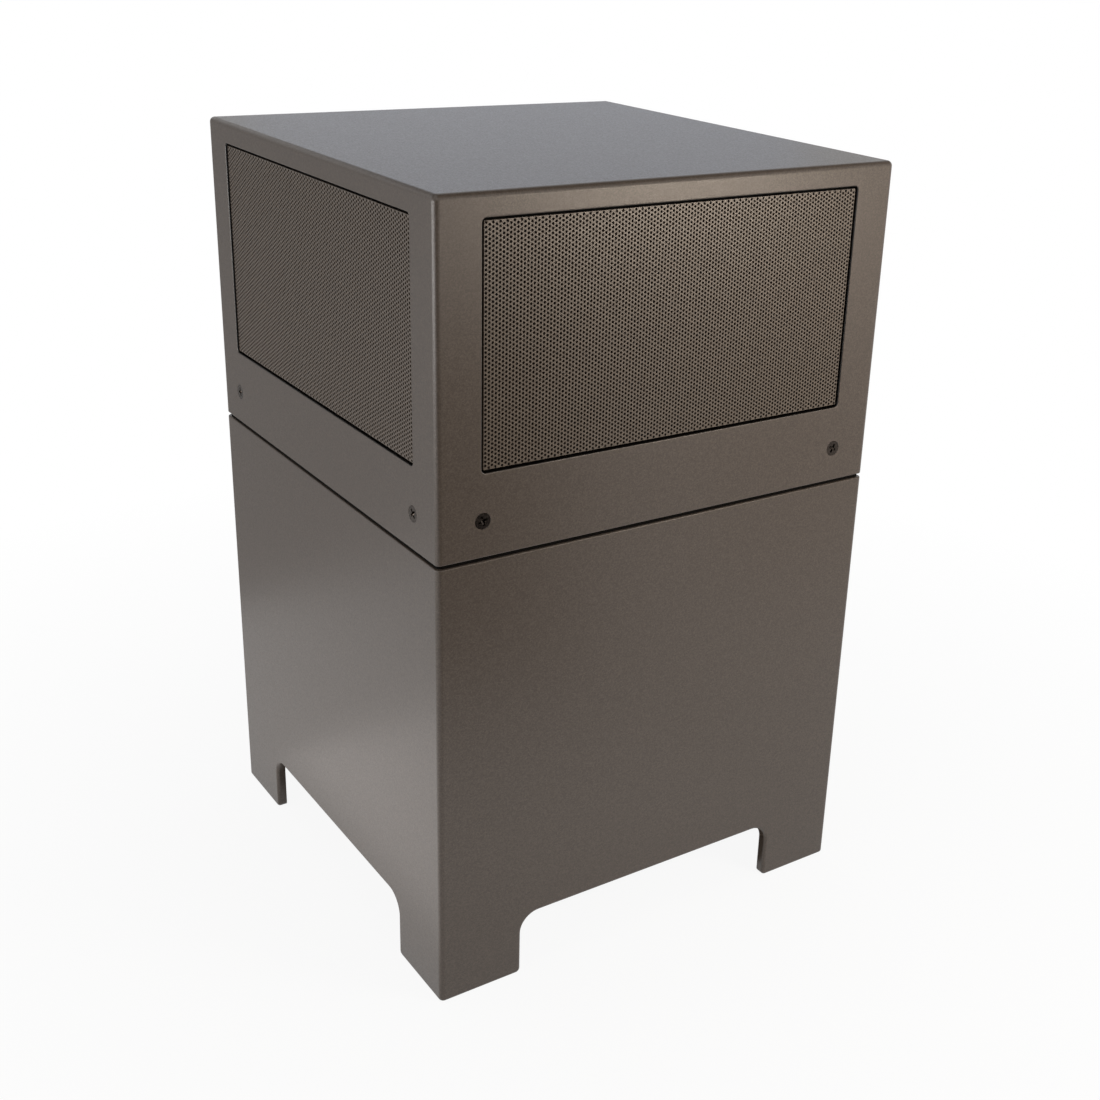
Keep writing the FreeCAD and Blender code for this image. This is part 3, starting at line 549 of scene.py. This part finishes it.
def treated_cloth():
    """Resin-treated cotton of the spider: tan cloth in an open plain weave, a thread every 2 mm."""
    made, shader, position = start("resin_treated_cotton", Roughness=0.85)
    warp, weft = [add(made, "ShaderNodeTexWave", {"Vector": position, "Scale": bands_per_mm(1.974)},
                      bands_direction=axis) for axis in "XY"]
    weave = add(made, "ShaderNodeMath", {0: warp.outputs["Fac"], 1: weft.outputs["Fac"]},
                operation="MULTIPLY")
    tone = add(made, "ShaderNodeMixRGB", {"Fac": weave.outputs["Value"], "Color1": linear("#8F6F3C"),
                                          "Color2": linear("#C6A468")})
    join(made, tone.outputs["Color"], shader, "Base Color")
    bump = add(made, "ShaderNodeBump", {"Height": weave.outputs["Value"], "Strength": 0.5,
                                        "Distance": 0.2 * MM})
    join(made, bump.outputs["Normal"], shader, "Normal")
    return made


def pressed_paper():
    """Pressed black paper pulp of the cones: dull charcoal with matted fibres a few millimetres long."""
    made, shader, position = start("pressed_black_paper", Roughness=0.82)
    fibre = add(made, "ShaderNodeTexNoise", {"Vector": position, "Scale": per_mm(2.5), "Detail": 6.0,
                                             "Distortion": 2.5})
    tone = add(made, "ShaderNodeMixRGB", {"Fac": fibre.outputs["Fac"], "Color1": linear("#161514"),
                                          "Color2": linear("#302E2B")})
    join(made, tone.outputs["Color"], shader, "Base Color")
    bump = add(made, "ShaderNodeBump", {"Height": fibre.outputs["Fac"], "Strength": 0.45,
                                        "Distance": 0.15 * MM})
    join(made, bump.outputs["Normal"], shader, "Normal")
    return made


def moulded_rubber():
    """Moulded black rubber of the rolls: deep black with a soft bloom and a satin sheen."""
    made, shader, position = start("moulded_black_rubber", IOR=1.52)
    bloom = add(made, "ShaderNodeTexNoise", {"Vector": position, "Scale": per_mm(18), "Detail": 3.0})
    tone = add(made, "ShaderNodeMixRGB", {"Fac": bloom.outputs["Fac"], "Color1": linear("#111111"),
                                          "Color2": linear("#1E1D1C")})
    join(made, tone.outputs["Color"], shader, "Base Color")
    gloss = add(made, "ShaderNodeMapRange", {"Value": bloom.outputs["Fac"], "To Min": 0.42, "To Max": 0.6})
    join(made, gloss.outputs["Result"], shader, "Roughness")
    return made


finishes = {
    # The bronze coat's cut edges inside the windows get a near-black painted shade.
    "powder_coat": powder_coat("bronze_powder_coat", "#4A4038", "#695D53", painted_edge_shade="#0F0C0A"),
    "grille_coat": powder_coat("bronze_powder_coat_sheet", "#594D42", "#7B6F63"),
    "black_screw": black_oxide(),
    "zinc_screw": zinc_plate(),
    "black_coat": black_coat(),
    "mill_aluminium": mill_aluminium(),
    "black_board": painted_board(),
    "hardboard": hardboard(),
    "black_plastic": moulded_abs(),
    "post_brass": turned_brass(),
    "copper_winding": wound_copper(),
    "capacitor_case": shrunk_sleeve(),
    "motor_ferrite": sintered_ferrite(),
    "spider_cloth": treated_cloth(),
    "cone_paper": pressed_paper(),
    "roll_rubber": moulded_rubber(),
}


def dress(piece, slot):
    """Gives a piece the finish of its material slot."""
    if not piece.material_slots:
        piece.data.materials.append(finishes[slot])
    for place in piece.material_slots:
        place.material = finishes[slot]


for part in frame["record"]["subparts"]:
    dress(frame["nodes"][part["node"]], part["material_slot"])
for side in SIDES:
    dress(grille_panel(side), "grille_coat")
dress(head_screw_set(), "black_screw")


# Floor, world, lamps and camera

def backdrop_seen(material):
    """An output that is 1 for rays that show the backdrop itself: straight, by a gloss or through glass."""
    path = add(material, "ShaderNodeLightPath").outputs
    seen = path["Is Camera Ray"]
    for ray in ("Is Glossy Ray", "Is Transmission Ray"):
        larger = add(material, "ShaderNodeMath", {0: seen, 1: path[ray]}, operation="MAXIMUM")
        seen = larger.outputs["Value"]
    return seen


def white_floor():
    """A pale sheet under the object: white where it is seen, with a share that takes the shadow and fades
    out away from the object. From below it is clear, so that the underside can be looked at."""
    made = bpy.data.materials.new("white_floor")
    made.use_nodes = True
    made.node_tree.nodes.clear()
    paper = add(made, "ShaderNodeBsdfDiffuse", {"Color": FLOOR_PAPER})
    glow = add(made, "ShaderNodeEmission", {"Color": WHITE, "Strength": 1.0})
    position = add(made, "ShaderNodeTexCoord").outputs["Object"]
    away = add(made, "ShaderNodeVectorMath", {0: position}, operation="LENGTH")
    glowing = add(made, "ShaderNodeMapRange", {"Value": away.outputs["Value"], "From Min": FLOOR_FADE[0],
                                               "From Max": FLOOR_FADE[1], "To Min": FLOOR_WHITE,
                                               "To Max": 1.0})
    share = add(made, "ShaderNodeMath", {0: backdrop_seen(made), 1: glowing.outputs["Result"]},
                operation="MULTIPLY")
    mixed = add(made, "ShaderNodeMixShader", {0: share.outputs["Value"], 1: paper.outputs["BSDF"],
                                              2: glow.outputs["Emission"]})
    below = add(made, "ShaderNodeNewGeometry").outputs["Backfacing"]
    clear = add(made, "ShaderNodeBsdfTransparent")
    sheet = add(made, "ShaderNodeMixShader", {0: below, 1: mixed.outputs["Shader"],
                                              2: clear.outputs["BSDF"]})
    add(made, "ShaderNodeOutputMaterial", {"Surface": sheet.outputs["Shader"]})
    mesh = bpy.data.meshes.new("floor")
    corners = [(-1, -1), (1, -1), (1, 1), (-1, 1)]
    mesh.from_pydata([(x * FLOOR_REACH, y * FLOOR_REACH, 0) for x, y in corners], [], [(0, 1, 2, 3)])
    mesh.materials.append(made)
    floor = bpy.data.objects.new("floor", mesh)
    bpy.context.scene.collection.objects.link(floor)


def white_world(level):
    """White where it is seen, and an even grey level as light."""
    world = bpy.data.worlds.new("studio")
    world.use_nodes = True
    world.node_tree.nodes.clear()
    seen = add(world, "ShaderNodeBackground", {"Color": WHITE, "Strength": 1.0})
    fill = add(world, "ShaderNodeBackground", {"Color": WHITE, "Strength": level})
    mixed = add(world, "ShaderNodeMixShader", {0: backdrop_seen(world), 1: fill.outputs["Background"],
                                               2: seen.outputs["Background"]})
    add(world, "ShaderNodeOutputWorld", {"Surface": mixed.outputs["Shader"]})
    bpy.context.scene.world = world


def soft_box(name, place, target, size, power, colour, in_sheen):
    """A rectangular lamp that faces a point. The camera doesn't see it, and a sheen may or may not."""
    data = bpy.data.lights.new(name, "AREA")
    data.shape = "RECTANGLE"
    data.size, data.size_y = size
    data.energy = power
    data.color = linear(colour)[:3]
    lamp = bpy.data.objects.new(name, data)
    lamp.location = place
    aim = Vector(target) - Vector(place)
    lamp.rotation_euler = aim.to_track_quat("-Z", "Y").to_euler()
    lamp.visible_camera = False
    lamp.visible_glossy = in_sheen
    bpy.context.scene.collection.objects.link(lamp)


def sheen_card(name, corner, across, upright, level, colour):
    """A card of one even brightness, dark, grey or bright, that the camera doesn't see and only a sheen
    shows: it neither lights nor shades the dull share of a surface."""
    made = bpy.data.materials.new(name)
    made.use_nodes = True
    made.node_tree.nodes.clear()
    glow = add(made, "ShaderNodeEmission", {"Color": linear(colour), "Strength": level})
    add(made, "ShaderNodeOutputMaterial", {"Surface": glow.outputs["Emission"]})
    grid = np.array([(0, 0), (1, 0), (1, 1), (0, 1)])
    points = np.array(corner) + grid[:, :1] * np.array(across) + grid[:, 1:] * np.array(upright)
    mesh = bpy.data.meshes.new(name)
    mesh.from_pydata(points.tolist(), [], [(0, 1, 2, 3)])
    mesh.materials.append(made)
    card = bpy.data.objects.new(name, mesh)
    card.visible_camera = False
    card.visible_diffuse = False
    card.visible_shadow = False
    bpy.context.scene.collection.objects.link(card)


def photo_camera():
    """The camera at the photograph's place, with its slight roll, lens and framing."""
    data = bpy.data.cameras.new("camera")
    data.sensor_width = CAMERA_FILM
    data.lens = CAMERA_LENS
    data.shift_x, data.shift_y = CAMERA_SHIFT
    forward = Vector(CAMERA_FORWARD).normalized()
    right = Vector(CAMERA_RIGHT)
    right = (right - forward * right.dot(forward)).normalized()
    axes = Matrix((right, right.cross(forward), -forward)).transposed()
    camera = bpy.data.objects.new("camera", data)
    camera.matrix_world = Matrix.Translation(CAMERA_PLACE) @ axes.to_4x4()
    bpy.context.scene.collection.objects.link(camera)
    bpy.context.scene.camera = camera


white_floor()
white_world(WORLD_LEVEL)
for name, card in CARDS.items():
    sheen_card(name, *card)
for name, lamp in LAMPS.items():
    soft_box(name, *lamp)
photo_camera()
bpy.context.scene.view_settings.view_transform = "Standard"
